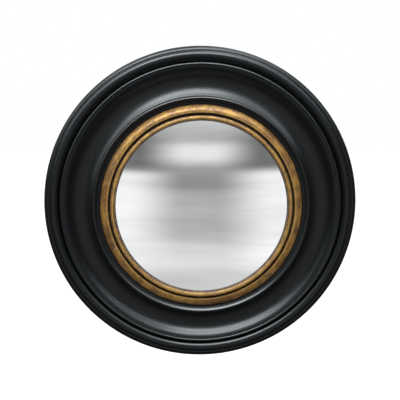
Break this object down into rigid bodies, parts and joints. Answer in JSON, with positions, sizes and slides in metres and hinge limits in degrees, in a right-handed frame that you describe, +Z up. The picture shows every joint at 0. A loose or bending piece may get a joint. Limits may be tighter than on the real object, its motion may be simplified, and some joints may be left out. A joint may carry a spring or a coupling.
{
  "type": "convex wall mirror",
  "caption": "Round convex wall mirror: turned black frame with a wide cove, gilded double-bead slip, domed glass, backboard held by turn buttons, D-ring hanger.",
  "frame": {"origin": "centre of the mirror's axis on the wall plane, where the wall pads' rear faces lie", "axes": "+Z up, -Y out of the mirror's face, +Y into the wall, +X to the right seen from the front"},
  "size_m": [0.39, 0.0562, 0.39],
  "materials": {
    "black_lacquer": "satin black lacquer on turned wood",
    "gilding": "antiqued gilding, rubbed and toned brown in the grooves",
    "silvered_glass": "silvered on the back, polished front",
    "felt": "black wool felt",
    "fibreboard": "bare medium fibreboard",
    "hardboard": "tempered hardboard, screen side out",
    "fibre_washer": "vulcanised fibre",
    "screw_steel": "zinc plated",
    "brass_buttons": "brassed, lightly worn",
    "plated_steel": "nickel plated",
    "pad_rubber": "soft black rubber"
  },
  "bodies": {
    "mirror": {"turned_frame": "black_lacquer", "gilt_slip": "gilding", "slip_screws": "screw_steel", "glass_gasket": "felt", "mirror_glass": "silvered_glass", "retaining_ring": "fibreboard", "retaining_ring_screws": "screw_steel", "backboard": "hardboard", "turn_button_washers": "fibre_washer", "turn_button_screws": "screw_steel", "hanger_strap": "plated_steel", "hanger_screws": "screw_steel", "wall_pad_1": "pad_rubber", "wall_pad_2": "pad_rubber", "wall_pad_3": "pad_rubber", "wall_pad_4": "pad_rubber"},
    "turn_button_1": {"turn_button_1": "brass_buttons"},
    "turn_button_2": {"turn_button_2": "brass_buttons"},
    "turn_button_3": {"turn_button_3": "brass_buttons"},
    "turn_button_4": {"turn_button_4": "brass_buttons"},
    "turn_button_5": {"turn_button_5": "brass_buttons"},
    "turn_button_6": {"turn_button_6": "brass_buttons"},
    "hanger_ring": {"hanger_ring": "plated_steel"}
  },
  "joints": [
    {"name": "turn_button_1_pivot", "type": "hinge", "parent": "mirror", "child": "turn_button_1", "pos_m": [0.1504, -0.00525, 0], "axis": [0, 1, 0], "range_deg": [-90, 90]},
    {"name": "turn_button_2_pivot", "type": "hinge", "parent": "mirror", "child": "turn_button_2", "pos_m": [0.0752, -0.00525, 0.13025], "axis": [0, 1, 0], "range_deg": [-90, 90]},
    {"name": "turn_button_3_pivot", "type": "hinge", "parent": "mirror", "child": "turn_button_3", "pos_m": [-0.0752, -0.00525, 0.13025], "axis": [0, 1, 0], "range_deg": [-90, 90]},
    {"name": "turn_button_4_pivot", "type": "hinge", "parent": "mirror", "child": "turn_button_4", "pos_m": [-0.1504, -0.00525, 0], "axis": [0, 1, 0], "range_deg": [-90, 90]},
    {"name": "turn_button_5_pivot", "type": "hinge", "parent": "mirror", "child": "turn_button_5", "pos_m": [-0.0752, -0.00525, -0.13025], "axis": [0, 1, 0], "range_deg": [-90, 90]},
    {"name": "turn_button_6_pivot", "type": "hinge", "parent": "mirror", "child": "turn_button_6", "pos_m": [0.0752, -0.00525, -0.13025], "axis": [0, 1, 0], "range_deg": [-90, 90]},
    {"name": "hanger_ring_swing", "type": "hinge", "parent": "mirror", "child": "hanger_ring", "pos_m": [0, -0.00602, 0.16143], "axis": [-1, 0, 0], "range_deg": [0, 160]}
  ]
}
